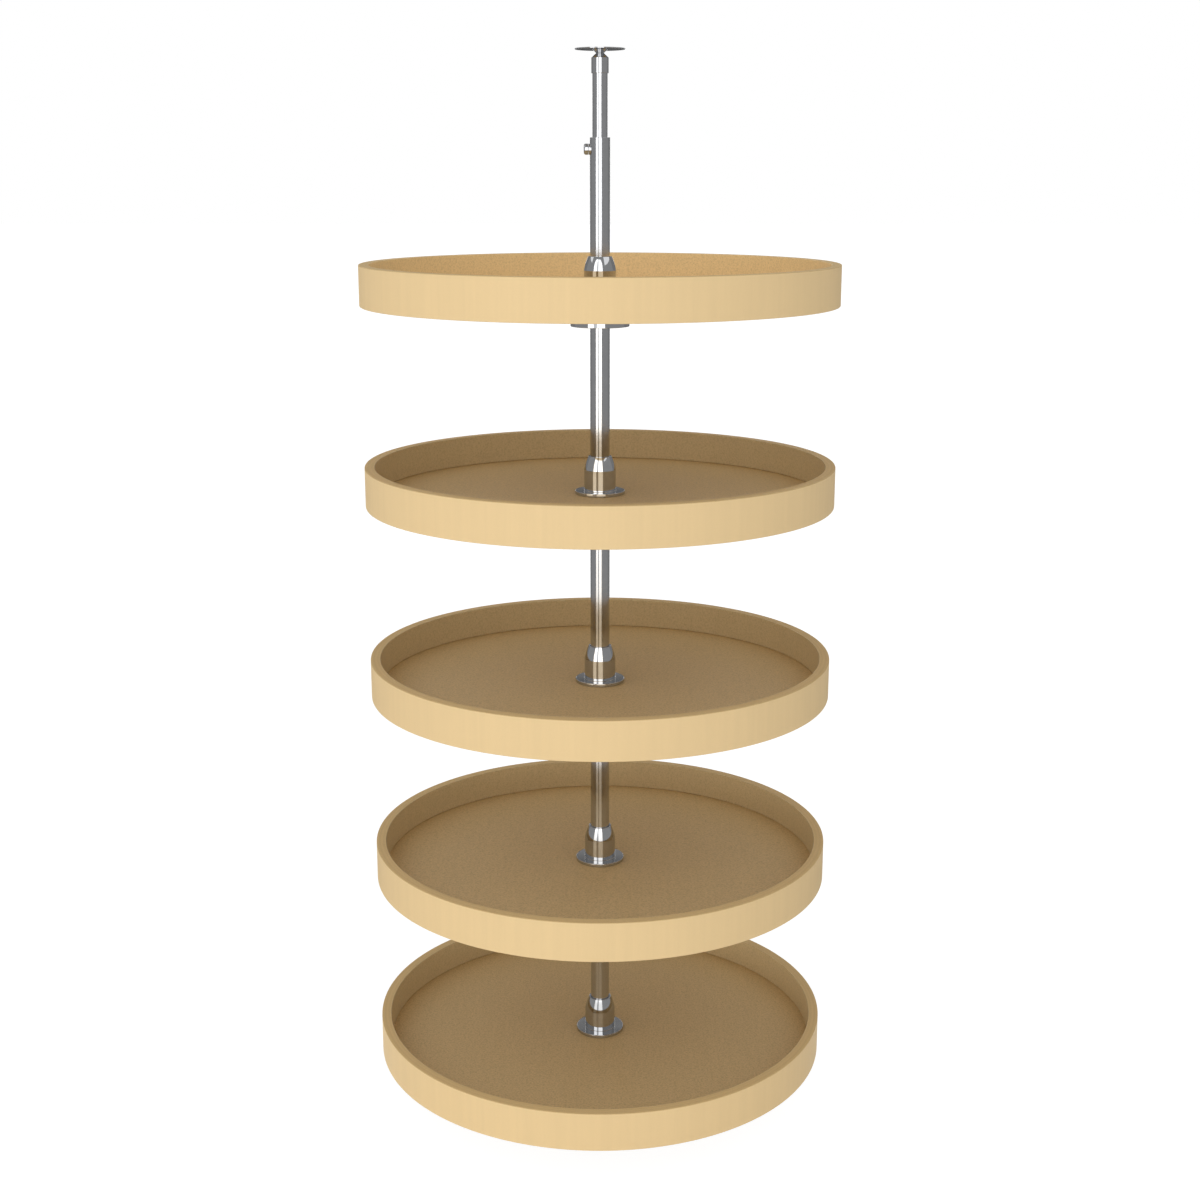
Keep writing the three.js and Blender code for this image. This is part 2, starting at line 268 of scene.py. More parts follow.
def chrome_plate(name, colour, smoothest, roughest):
    """Bright chrome plate on polished steel: a clean mirror with a trace of polishing haze."""
    material, tree = new_material(name)
    haze_size = 9 * MM
    place = measured(tree, haze_size, haze_size, haze_size)
    haze = add_node(
        tree, "ShaderNodeTexNoise", {"Scale": 1.0, "Detail": 2.0}, {"Vector": place.outputs[0]}
    )
    roughness = add_node(
        tree,
        "ShaderNodeMapRange",
        {"From Min": 0.3, "From Max": 0.7, "To Min": smoothest, "To Max": roughest},
        {"Value": haze.outputs["Fac"]},
    )
    tint = add_node(tree, "ShaderNodeValToRGB", links={"Fac": haze.outputs["Fac"]})
    set_tones(tint, (0.3, shade(colour, 0.97)), (0.7, shade(colour, 1.02)))
    shader = add_node(
        tree,
        "ShaderNodeBsdfPrincipled",
        {"Metallic": 1.0},
        {"Base Color": tint.outputs["Color"], "Roughness": roughness.outputs[0]},
    )
    finish_material(tree, shader)
    return material


def zinc_plate(name, colour):
    """Zinc-plated pressed steel: grey, satin, with a faint crystalline mottle."""
    material, tree = new_material(name)
    crystal = 3 * MM
    place = measured(tree, crystal, crystal, crystal)
    spangle = add_node(
        tree,
        "ShaderNodeTexVoronoi",
        {"Scale": 1.0, "Randomness": 1.0},
        {"Vector": place.outputs[0]},
    )
    mottle = add_node(
        tree, "ShaderNodeTexNoise", {"Scale": 0.6, "Detail": 4.0}, {"Vector": place.outputs[0]}
    )
    tone = add_node(tree, "ShaderNodeValToRGB", links={"Fac": mottle.outputs["Fac"]})
    set_tones(tone, (0.35, shade(colour, 0.86)), (0.65, shade(colour, 1.06)))
    roughness = add_node(
        tree,
        "ShaderNodeMapRange",
        {"From Min": 0.0, "From Max": 0.8, "To Min": 0.3, "To Max": 0.44},
        {"Value": spangle.outputs["Distance"]},
    )
    shader = add_node(
        tree,
        "ShaderNodeBsdfPrincipled",
        {"Metallic": 1.0},
        {"Base Color": tone.outputs["Color"], "Roughness": roughness.outputs[0]},
    )
    finish_material(tree, shader)
    return material


def moulded_nylon(name, colour):
    """Injection-moulded natural nylon: milky white, satin, with a slight flow mottle."""
    material, tree = new_material(name)
    flow = 6 * MM
    place = measured(tree, flow, flow, flow)
    mottle = add_node(
        tree, "ShaderNodeTexNoise", {"Scale": 1.0, "Detail": 3.0}, {"Vector": place.outputs[0]}
    )
    tone = add_node(tree, "ShaderNodeValToRGB", links={"Fac": mottle.outputs["Fac"]})
    set_tones(tone, (0.35, shade(colour, 0.94)), (0.65, shade(colour, 1.0)))
    bump = add_node(
        tree,
        "ShaderNodeBump",
        {"Strength": 0.08, "Distance": 0.1 * MM},
        {"Height": mottle.outputs["Fac"]},
    )
    shader = add_node(
        tree,
        "ShaderNodeBsdfPrincipled",
        {"IOR": 1.53, "Roughness": 0.42, "Subsurface Weight": 0.1, "Subsurface Scale": 1 * MM},
        {"Base Color": tone.outputs["Color"], "Normal": bump.outputs[0]},
    )
    finish_material(tree, shader)
    return material


def cached(name, maker, *arguments):
    """The material of that name, made the first time it is asked for."""
    return bpy.data.materials.get(name) or maker(name, *arguments)


def outer_maple():
    """Hoop's outer veneer: the grain runs up the wall, in streaks about 12 mm wide."""
    colour = bpy.context.scene.carousel_colours.maple_face
    streak = (12 * MM, 12 * MM, 400 * MM)
    return cached("maple_veneer_lacquered_hoop", maple_veneer, colour, streak, 0.018, 0.01)


def inner_maple(number):
    """Inside of a hoop: the same veneer, less sanded, so its flecks show more.

    The lower hoops' lining is darkened as painted shade, because light that bounces between
    trays would leave their shade too pale. Nothing shades the top hoop, so its lining keeps the
    veneer's colour.
    """
    colours = bpy.context.scene.carousel_colours
    streak = (9 * MM, 9 * MM, 90 * MM)
    if number == 1:
        name, colour = "maple_veneer_top_hoop_lining", colours.maple_top_lining
    else:
        # The lower hoops' lining colour is darkened as painted shade between the trays
        name, colour = "maple_veneer_hoop_lining", colours.maple_lining_painted_shade
    return cached(name, maple_veneer, colour, streak, 0.015, 0.16)


def board_maple():
    """Board face: flat plywood with fine flecks and barely visible straight grain."""
    # The board colour is darker than the veneer's, as painted shade between the trays
    colour = bpy.context.scene.carousel_colours.maple_board
    streak = (7 * MM, 120 * MM, 7 * MM)
    return cached("maple_plywood_board", maple_veneer, colour, streak, 0.018, 0.22)


def maple_edge():
    """Edge of the hoop, sanded by hand: the plies show as faint rings."""
    colour = bpy.context.scene.carousel_colours.maple_edge
    return cached("maple_plywood_edge", plywood_edge, colour)


def chrome():
    """Turned and buffed before plating: a sharp mirror."""
    colour = bpy.context.scene.carousel_colours.chrome
    return cached("chrome_plated_buffed_steel", chrome_plate, colour, 0.05, 0.08)


def tube_chrome():
    """Drawn tube, plated as it comes from the die: what it mirrors is a little soft."""
    colour = bpy.context.scene.carousel_colours.chrome
    return cached("chrome_plated_drawn_tube", chrome_plate, colour, 0.12, 0.15)


def zinc():
    """Pressed plates, race and screws: grey and satin, as they come from the plating barrel."""
    colour = bpy.context.scene.carousel_colours.zinc
    return cached("zinc_plated_steel", zinc_plate, colour)


def nylon():
    """Bushes, sleeve, plug and washer: milky and a little waxy."""
    colour = bpy.context.scene.carousel_colours.nylon
    return cached("moulded_nylon_natural", moulded_nylon, colour)


# Turned shapes


class Corner:
    """A corner of a turned outline: radius, height, fillet, and finish of the side after it."""

    def __init__(self, radius, height, fillet=0.0, finish=0):
        self.point = Vector((radius, height))
        self.fillet = fillet
        self.finish = finish


FINE_ROUND = 96  # steps round a turned metal piece
SMALL_ROUND = 48  # steps round a small one
FILLET_STEPS = 4
SMOOTH_UP_TO = math.radians(8)
SHARP_FROM = math.radians(32)
ON_AXIS = 1e-7


def side_normal(start, end):
    """Outward normal of a side of an anticlockwise outline."""
    along = (end - start).normalized()
    return Vector((along.y, -along.x))


def fillet_arc(before, corner, after):
    """Points and normals of the arc that rounds a corner."""
    into = (corner.point - before.point).normalized()
    out = (after.point - corner.point).normalized()
    turn = into.angle_signed(out)
    cut = corner.fillet * math.tan(abs(turn) / 2)
    first, last = corner.point - into * cut, corner.point + out * cut
    first_normal = Vector((into.y, -into.x))
    bulge = 1 if turn < 0 else -1
    centre = first - first_normal * corner.fillet * bulge
    points = []
    for step in range(FILLET_STEPS + 1):
        angle = -turn * step / FILLET_STEPS
        normal = Matrix.Rotation(angle, 2) @ first_normal
        points.append((centre + normal * corner.fillet * bulge, normal, normal, corner.finish))
    points[-1] = (last, points[-1][1], points[-1][2], corner.finish)
    return points


def outline(corners, closed=True):
    """Rounds the corners. Each vertex is (point, normal before, normal after, finish)."""
    count = len(corners)
    vertices = []
    for i, corner in enumerate(corners):
        if not closed and i in (0, count - 1):
            normal = side_normal(*(c.point for c in (corners[:2] if i == 0 else corners[-2:])))
            vertices.append((corner.point, normal, normal, corner.finish))
            continue
        before, after = corners[i - 1], corners[(i + 1) % count]
        if corner.fillet > 0:
            vertices.extend(fillet_arc(before, corner, after))
            continue
        entering = side_normal(before.point, corner.point)
        leaving = side_normal(corner.point, after.point)
        if entering.angle(leaving) < SMOOTH_UP_TO:
            entering = leaving = (entering + leaving).normalized()
        vertices.append((corner.point, entering, leaving, corner.finish))
    return vertices


def turned(name, corners, materials, steps, closed=True):
    """A solid of revolution about Z from an anticlockwise outline, with exact normals."""
    profile = outline(corners, closed)
    angles = [math.tau * step / steps for step in range(steps)]
    rings, places = [], []
    for point, *_ in profile:
        radius, height = point
        if radius < ON_AXIS:
            rings.append([len(places)] * steps)
            places.append((0, 0, height))
            continue
        rings.append(list(range(len(places), len(places) + steps)))
        places.extend((radius * math.cos(a), radius * math.sin(a), height) for a in angles)
    faces, normals, finishes = [], [], []
    spans = len(profile) if closed else len(profile) - 1
    for i in range(spans):
        j = (i + 1) % len(profile)
        for step in range(steps):
            after = (step + 1) % steps
            quad = [(i, step), (i, after), (j, after), (j, step)]
            corner_of = {}
            for ring, column in quad:
                vertex = rings[ring][column]
                side = profile[ring][2] if ring == i else profile[ring][1]
                angle = angles[column]
                normal = (side.x * math.cos(angle), side.x * math.sin(angle), side.y)
                corner_of.setdefault(vertex, normal)
            faces.append(list(corner_of))
            normals.extend(corner_of.values())
            finishes.append(profile[i][3])
    mesh = bpy.data.meshes.new(name)
    mesh.from_pydata(places, [], faces)
    for material in materials:
        mesh.materials.append(material)
    mesh.polygons.foreach_set("material_index", finishes)
    mesh.polygons.foreach_set("use_smooth", [True] * len(faces))
    mesh.normals_split_custom_set(normals)
    return link(bpy.data.objects.new(name, mesh))


def link(piece):
    """Puts the piece in the scene."""
    bpy.context.scene.collection.objects.link(piece)
    return piece


def dress(piece, body, slot, *nodes):
    """Rides the piece on its body and hides the nodes it stands for. Its slot is not used."""
    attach(piece, body)
    if nodes:
        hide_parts(*nodes)
    return piece


def carve(piece, cutters):
    """Cuts the cutters out of the piece and sets its normals by angle and face size."""
    for cutter in cutters:
        modifier = piece.modifiers.new("cut", "BOOLEAN")
        modifier.object = cutter
        modifier.operation = "DIFFERENCE"
        modifier.solver = "EXACT"
    depsgraph = bpy.context.evaluated_depsgraph_get()
    mesh = bpy.data.meshes.new_from_object(piece.evaluated_get(depsgraph))
    piece.modifiers.clear()
    piece.data = mesh
    for cutter in cutters:
        bpy.data.objects.remove(cutter)
    mesh.shade_smooth()
    mesh.set_sharp_from_angle(angle=SHARP_FROM)
    weighted = piece.modifiers.new("even_normals", "WEIGHTED_NORMAL")
    weighted.keep_sharp = True
    return piece


def drill(radius, start, direction, length, steps=32):
    """A round cutter that starts at a point and runs along a direction."""
    cutter = turned(
        "drill",
        [Corner(0, 0), Corner(radius, 0), Corner(radius, length), Corner(0, length)],
        [],
        steps,
        closed=False,
    )
    return aimed(cutter, start, direction)


def aimed(piece, start, direction):
    """Turns a piece made about Z so that it points along a direction from a start."""
    turn = Vector(direction).to_track_quat("Z", "Y").to_matrix().to_4x4()
    piece.data.transform(Matrix.Translation(Vector(start)) @ turn)
    return piece


def on_circle(count, radius, height, phase=0.5):
    """Points evenly spaced on a circle round the axis."""
    turns = [math.tau * (i + phase) / count for i in range(count)]
    return [Vector((radius * math.cos(t), radius * math.sin(t), height)) for t in turns]


def bore_plate(piece, count, circle, radius, bottom, top):
    """Screw holes on a circle, right through a plate."""
    clear = 1 * MM
    depth = top - bottom + 2 * clear
    holes = on_circle(count, circle, bottom - clear)
    carve(piece, [drill(radius, place, (0, 0, 1), depth) for place in holes])


# Sizes and colours that a user would change


def metres(name, description, default):
    """A length setting, in metres."""
    return FloatProperty(name=name, description=description, default=default, unit="LENGTH")


def degrees(name, description, turn):
    """An angle setting, with its default in degrees."""
    default = math.radians(turn)
    return FloatProperty(name=name, description=description, default=default, unit="ROTATION")


def amount(name, description, default):
    """A setting for a brightness or a share."""
    return FloatProperty(name=name, description=description, default=default, min=0.0)


def finish_colour(name, description, code):
    """A colour setting with an sRGB hex value as its default."""
    return FloatVectorProperty(
        name=name, description=description, subtype="COLOR", min=0, max=1, default=srgb(code)
    )


class CarouselSizes(bpy.types.PropertyGroup):
    wall_thickness: metres("Tray wall", "Thickness of the bent hoop", 13 * MM)
    rebate: metres("Rebate", "Step in the hoop for the board", 5.5 * MM)
    edge_round: metres("Edge rounding", "Radius of the hoop's sanded edges", 0.8 * MM)
    foot_round: metres("Foot rounding", "Radius of the hoop's edge on the board", 1.5 * MM)
    hub_barrel: metres("Hub barrel", "Radius of the top hub's barrel", 20.7 * MM)
    hub_flange: metres("Hub flange", "Thickness of the flange", 4.5 * MM)
    hub_crease: metres("Hub crease", "Height of the crease over the hub's seat", 31.7 * MM)
    hub_shoulder: metres("Shoulder radius", "Radius of the hub's arc", 72 * MM)
    hub_lean: degrees("Shoulder lean", "Lean of the shoulder at the crease", 10.5)
    cup_round: metres("Cup edge", "Radius of the cup's lower edge", 0.6 * MM)
    round_steps: IntProperty(
        name="Round steps", description="Steps round each tray", default=192, min=48, max=512
    )


class CarouselColours(bpy.types.PropertyGroup):
    maple_face: finish_colour("Maple outside", "Lacquered outer veneer", "#EDCF9B")
    # Darkened as painted shade between the trays
    maple_board: finish_colour("Maple boards", "Face of each tray's board", "#D2B685")
    # Darkened as painted shade between the lower trays
    maple_lining_painted_shade: finish_colour("Hoop lining", "Inner face of the hoops", "#CFB78A")
    maple_top_lining: finish_colour("Top lining", "Inner face of the top hoop", "#F0CF97")
    maple_edge: finish_colour("Plywood edge", "Sanded edge of the hoop", "#DCBD86")
    chrome: finish_colour("Chrome", "Chrome plate seen face on", "#C3C4C6")
    zinc: finish_colour("Zinc", "Zinc-plated steel", "#B2B4B6")
    nylon: finish_colour("Nylon", "Natural moulded nylon", "#E9E6DC")


class CarouselStudio(bpy.types.PropertyGroup):
    camera_distance: metres("Camera distance", "From the post's axis", 2.2571)
    camera_height: metres("Camera height", "Above the floor", 1.2485)
    camera_pitch: degrees("Camera pitch", "Down from level", 13.822)
    camera_lens: FloatProperty(
        name="Lens",
        description="Focal length on a 36 mm wide sensor, in millimetres",
        default=52.41,
        min=1.0,
        unit="CAMERA",
    )
    ambient: amount("Ambient", "Mean strength of the soft light all round", 0.697)
    ambient_lean: amount("Ambient lean", "Share that the key's side gains", 0.55)
    key_bearing: degrees("Key bearing", "From the front, to the left if negative", -22)
    key_power: FloatProperty(
        name="Key light", description="Power of the front softbox", default=63.0, unit="POWER"
    )
    grey_card: amount("Grey cards", "Brightness that bare metal sees to the sides", 0.36)
    softbox: amount("Softbox panels", "Brightness of the panels that metal reflects", 2.4)
    floor_shadow: amount("Floor shadow", "Share of the floor's look that takes shadow", 0.24)


# Pieces


class CAROUSEL_OT_hoops(bpy.types.Operator):
    """Bends the plywood hoop round each tray"""

    bl_idname = "carousel.hoops"
    bl_label = "Tray hoops"

    def execute(self, context):
        sizes = context.scene.carousel_sizes
        for number in SHELVES:
            finishes = [outer_maple(), maple_edge(), inner_maple(number)]
            node = f"shelf_{number}_rim"
            bottom, top, outer = low(node)[2], high(node)[2], radius_of(node)
            inner = outer - sizes.wall_thickness
            rebate_top = high(f"shelf_{number}_board")[2] + HAIRLINE
            corners = [
                Corner(inner + sizes.rebate, bottom, DEBURRED, 1),
                Corner(outer, bottom, sizes.edge_round, 0),
                Corner(outer, top, sizes.edge_round, 1),
                Corner(inner, top, sizes.edge_round, 2),
                Corner(inner, rebate_top, sizes.foot_round, 2),
                Corner(inner + sizes.rebate, rebate_top, 0, 1),
            ]
            piece = turned(f"tray_hoop_{number}", corners, finishes, sizes.round_steps)
            dress(piece, f"tray_{number}", "maple_hoop", node)
        return {"FINISHED"}


class CAROUSEL_OT_boards(bpy.types.Operator):
    """Cuts the round board of each tray"""

    bl_idname = "carousel.boards"
    bl_label = "Tray boards"

    def execute(self, context):
        steps = context.scene.carousel_sizes.round_steps
        hole = 18 * MM
        for number in SHELVES:
            finishes = [board_maple(), maple_edge()]
            node = f"shelf_{number}_board"
            bottom, top, outer = low(node)[2], high(node)[2], radius_of(node)
            corners = [
                Corner(hole, bottom, DEBURRED, 0),
                Corner(outer, bottom, DEBURRED, 1),
                Corner(outer, top, DEBURRED, 0),
                Corner(hole, top, DEBURRED, 1),
            ]
            piece = turned(f"tray_board_{number}", corners, finishes, steps)
            dress(piece, f"tray_{number}", "maple_board", node)
        return {"FINISHED"}


def shoulder(sizes, crease, top, count):
    """Corners of the hub's convex shoulder, from the crease to the top."""
    corners = []
    for step in range(count + 1):
        rise = (top - crease) * step / count
        sine = math.sin(sizes.hub_lean) + rise / sizes.hub_shoulder
        drop = sizes.hub_shoulder * (math.cos(sizes.hub_lean) - math.sqrt(1 - sine * sine))
        corners.append(Corner(sizes.hub_barrel - drop, crease + rise))
    return corners


class CAROUSEL_OT_hubs(bpy.types.Operator):
    """Turns the chromed top hub of each tray"""

    bl_idname = "carousel.hubs"
    bl_label = "Top hubs"

    def execute(self, context):
        sizes = context.scene.carousel_sizes
        lip = radius_of("post_outer_tube") + 0.2 * MM
        bore, lip_height, arc_steps = 16.3 * MM, 9.6 * MM, 12
        for number in SHELVES:
            node = f"shelf_{number}_top_hub"
            seat, top, flange = low(node)[2], high(node)[2], radius_of(node)
            arc = shoulder(sizes, seat + sizes.hub_crease, top, arc_steps)
            arc[-1].fillet = EASED
            corners = [
                Corner(bore, seat),
                Corner(flange, seat, EASED),
                Corner(flange, seat + sizes.hub_flange, PRESSED),
                Corner(sizes.hub_barrel, seat + sizes.hub_flange, EASED),
                *arc,
                Corner(lip, top, DEBURRED),
                Corner(lip, top - lip_height),
                Corner(bore, top - lip_height),
            ]
            piece = turned(f"hub_{number}", corners, [chrome()], FINE_ROUND)
            dress(piece, f"tray_{number}", "chrome", node)
        return {"FINISHED"}


class CAROUSEL_OT_cups(bpy.types.Operator):
    """Spins the chromed support cup under each tray, with its set screw's access hole"""

    bl_idname = "carousel.cups"
    bl_label = "Support cups"

    def execute(self, context):
        sizes = context.scene.carousel_sizes
        wall, boss, bore = 2.5 * MM, 19.5 * MM, radius_of("post_outer_tube") + 0.4 * MM
        running_gap, screw_hole, hole_start = 1 * MM, 3.4 * MM, 5 * MM
        for number in SHELVES:
            node = f"shelf_{number}_support_cup"
            screw = f"shelf_{number}_set_screw"
            bottom, outer = low(node)[2], radius_of(node)
            wall_top = low(f"shelf_{number}_bearing_plate")[2] - running_gap
            boss_top = low(f"shelf_{number}_lower_race")[2] - DEBURRED
            corners = [
                Corner(bore, bottom, EASED),
                Corner(outer, bottom, sizes.cup_round),
                Corner(outer, wall_top, EASED),
                Corner(outer - wall, wall_top, EASED),
                Corner(outer - wall, bottom + wall, PRESSED),
                Corner(boss, bottom + wall, PRESSED),
                Corner(boss, boss_top, EASED),
                Corner(bore, boss_top, EASED),
            ]
            piece = turned(f"support_cup_{number}", corners, [chrome()], FINE_ROUND)
            level = (low(screw)[2] + high(screw)[2]) / 2
            carve(piece, [drill(screw_hole, (0, hole_start, level), (0, 1, 0), outer)])
            dress(piece, f"carrier_{number}", "chrome", node)
        return {"FINISHED"}


def pan_head_screws(name, places, radius, height):
    """Pan-head screws with a cross recess, heads down, joined as one piece."""
    corners = [
        Corner(0, 0),
        Corner(0.55 * radius, 0),
        Corner(0.9 * radius, 0.18 * height),
        Corner(radius, 0.45 * height),
        Corner(radius, height),
        Corner(0, height),
    ]
    head_steps, recess_length, recess_width = 24, 1.1 * radius, 0.26 * radius
    head = turned("screw_head", corners, [zinc()], head_steps, closed=False)
    cross = []
    for turn in (0, math.pi / 2):
        bar = bpy.data.meshes.new("cross_bar")
        build = bmesh.new()
        size = Matrix.Diagonal((recess_length, recess_width, height, 1))
        bmesh.ops.create_cube(build, size=1.0, matrix=Matrix.Rotation(turn, 4, "Z") @ size)
        build.to_mesh(bar)
        build.free()
        cross.append(link(bpy.data.objects.new("cross_bar", bar)))
    carve(head, cross)
    joined = bmesh.new()
    for place in places:
        copy = head.data.copy()
        copy.transform(Matrix.Translation(place))
        joined.from_mesh(copy)
        bpy.data.meshes.remove(copy)
    mesh = bpy.data.meshes.new(name)
    joined.to_mesh(mesh)
    joined.free()
    mesh.materials.append(zinc())
    bpy.data.objects.remove(head)
    return link(bpy.data.objects.new(name, mesh))


class CAROUSEL_OT_bearing_plates(bpy.types.Operator):
    """Presses the steel plate under each board and drives its screws"""

    bl_idname = "carousel.bearing_plates"
    bl_label = "Bearing plates"

    def execute(self, context):
        hole, screw_count, screw_circle = 17.5 * MM, 6, 47 * MM
        head, head_height = 4.2 * MM, 2.4 * MM
        for number in SHELVES:
            node = f"shelf_{number}_bearing_plate"
            bottom, top, outer = low(node)[2], high(node)[2], radius_of(node)
            corners = [
                Corner(hole, bottom, EASED),
                Corner(outer, bottom, PRESSED),
                Corner(outer, top, DEBURRED),
                Corner(hole, top, DEBURRED),
            ]
            piece = turned(f"bearing_plate_{number}", corners, [zinc()], FINE_ROUND)
            dress(piece, f"tray_{number}", "zinc_steel", node)
            places = on_circle(screw_count, screw_circle, bottom - head_height + HAIRLINE)
            screws = pan_head_screws(f"plate_screws_{number}", places, head, head_height)
            dress(screws, f"tray_{number}", "zinc_steel")
        return {"FINISHED"}


class CAROUSEL_OT_bearings(bpy.types.Operator):
    """Finishes the hidden bearing parts and bushes, which keep their solids"""

    bl_idname = "carousel.bearings"
    bl_label = "Bearings and bushes"

    def execute(self, context):
        for number in SHELVES:
            show_node(f"shelf_{number}_bush", nylon())
            for part in ("ball_ring", "lower_race", "set_screw"):
                show_node(f"shelf_{number}_{part}", zinc())
        return {"FINISHED"}


def show_node(name, material):
    """Gives a CAD node that stays in view its finish."""
    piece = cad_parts[name]
    piece.data.materials.clear()
    piece.data.materials.append(material)


class CAROUSEL_OT_post(bpy.types.Operator):
    """Draws the outer and inner tubes of the telescoping post"""

    bl_idname = "carousel.post"
    bl_label = "Post tubes"

    def execute(self, context):
        for node, body, wall in (
            ("post_outer_tube", "post", 1.5 * MM),
            ("post_inner_tube", "mast", 1.2 * MM),
        ):
            bottom, top, outer = low(node)[2], high(node)[2], radius_of(node)
            corners = [
                Corner(outer - wall, bottom, DEBURRED),
                Corner(outer, bottom, DEBURRED),
                Corner(outer, top, DEBURRED),
                Corner(outer - wall, top, DEBURRED),
            ]
            piece = turned(f"{node}_chromed", corners, [tube_chrome()], FINE_ROUND)
            dress(piece, body, "chrome", node)
        show_node("post_guide_sleeve", nylon())
        show_node("post_bottom_plug", nylon())
        return {"FINISHED"}


class CAROUSEL_OT_lock(bpy.types.Operator):
    """Makes the lock screw and its boss on the side of the post"""

    bl_idname = "carousel.lock"
    bl_label = "Lock screw"

    def execute(self, context):
        middle = (low("lock_screw")[2] + high("lock_screw")[2]) / 2
        head = (high("lock_screw")[2] - low("lock_screw")[2]) / 2
        end = -low("lock_screw")[0]
        face = -low("lock_boss")[0]
        boss_radius = (high("lock_boss")[2] - low("lock_boss")[2]) / 2
        post = radius_of("post_outer_tube")
        axis = (0, 0, middle), (-1, 0, 0)
        boss_root, screw_root, shank = post - 4 * MM, post - 3 * MM, 3 * MM
        socket, socket_depth, socket_sides = 2 * MM, 3 * MM, 6
        boss = turned(
            "lock_boss_chromed",
            [
                Corner(0, boss_root),
                Corner(boss_radius, boss_root),
                Corner(boss_radius, face, DEBURRED),
                Corner(0, face),
            ],
            [chrome()],
            SMALL_ROUND,
            closed=False,
        )
        aimed(boss, *axis)
        reach = 3 * boss_radius
        tube = drill(post + HAIRLINE, (0, 0, middle - reach), (0, 0, 1), 2 * reach, FINE_ROUND)
        carve(boss, [tube])
        dress(boss, "post", "chrome", "lock_boss")
        screw = turned(
            "lock_screw_chromed",
            [
                Corner(0, screw_root),
                Corner(shank, screw_root),
                Corner(shank, face + DEBURRED),
                Corner(head, face + DEBURRED, EASED),
                Corner(head, end, 2.4 * MM),
                Corner(0, end),
            ],
            [chrome()],
            SMALL_ROUND,
            closed=False,
        )
        aimed(screw, *axis)
        start = (socket_depth - end, 0, middle)
        carve(screw, [drill(socket, start, (-1, 0, 0), 2 * socket_depth, socket_sides)])
        dress(screw, "lock", "chrome", "lock_screw")
        return {"FINISHED"}


class CAROUSEL_OT_top_fitting(bpy.types.Operator):
    """Turns the cap, the conical socket and the ceiling plate"""

    bl_idname = "carousel.top_fitting"
    bl_label = "Top fitting"

    def execute(self, context):
        cap = "top_cap"
        bottom, neck_z, outer = low(cap)[2], high(cap)[2], radius_of(cap)
        neck, pin, shoulder_z = 5.2 * MM, 3.1 * MM, neck_z - 5.1 * MM
        bore, crown_z = radius_of("post_inner_tube") + 0.2 * MM, shoulder_z - 6.9 * MM
        piece = turned(
            "top_cap_chromed",
            [
                Corner(bore, bottom, DEBURRED),
                Corner(outer, bottom, EASED),
                Corner(outer, shoulder_z, EASED),
                Corner(neck, neck_z, DEBURRED),
                Corner(pin, neck_z),
                Corner(pin, crown_z),
                Corner(bore, crown_z),
            ],
            [chrome()],
            SMALL_ROUND,
        )
        dress(piece, "mast", "chrome", cap)
        socket = "ceiling_socket"
        piece = turned(
            "ceiling_socket_chromed",
            [
                Corner(pin, low(socket)[2]),
                Corner(neck, low(socket)[2], DEBURRED),
                Corner(radius_of(socket), high(socket)[2]),
                Corner(pin, high(socket)[2]),
            ],
            [chrome()],
            SMALL_ROUND,
        )
        dress(piece, "ceiling", "chrome", socket)
        plate = "ceiling_plate"
        bottom, top, outer = low(plate)[2], high(plate)[2], radius_of(plate)
        piece = turned(
            "ceiling_plate_chromed",
            [
                Corner(0, bottom),
                Corner(outer, bottom, DEBURRED),
                Corner(outer, top, DEBURRED),
                Corner(0, top),
            ],
            [chrome()],
            FINE_ROUND,
            closed=False,
        )
        bore_plate(piece, 3, 22 * MM, 2.2 * MM, bottom, top)
        dress(piece, "ceiling", "chrome", plate)
        show_node("top_pivot_pin", zinc())
        return {"FINISHED"}


class CAROUSEL_OT_floor_fitting(bpy.types.Operator):
    """Presses the floor plate and finishes the lower pivot"""

    bl_idname = "carousel.floor_fitting"
    bl_label = "Floor fitting"

    def execute(self, context):
        node = "floor_plate"
        bottom, top, outer = low(node)[2], high(node)[2], radius_of(node)
        piece = turned(
            "floor_plate_pressed",
            [
                Corner(0, bottom),
                Corner(outer, bottom, DEBURRED),
                Corner(outer, top, PRESSED),
                Corner(0, top),
            ],
            [zinc()],
            FINE_ROUND,
            closed=False,
        )
        bore_plate(piece, 4, 38 * MM, 2.6 * MM, bottom, top)
        dress(piece, "base", "zinc_steel", node)
        show_node("floor_pivot_pin", zinc())
        show_node("floor_thrust_washer", nylon())
        return {"FINISHED"}


# Studio


def seen_ray(tree):
    """1 for camera, glossy and transmission rays, 0 for the rays that light the object."""
    path = add_node(tree, "ShaderNodeLightPath")
    both = add_node(
        tree,
        "ShaderNodeMath",
        {"operation": "MAXIMUM"},
        {0: path.outputs["Is Camera Ray"], 1: path.outputs["Is Glossy Ray"]},
    )
    return add_node(
        tree,
        "ShaderNodeMath",
        {"operation": "MAXIMUM"},
        {0: both.outputs[0], 1: path.outputs["Is Transmission Ray"]},
    )


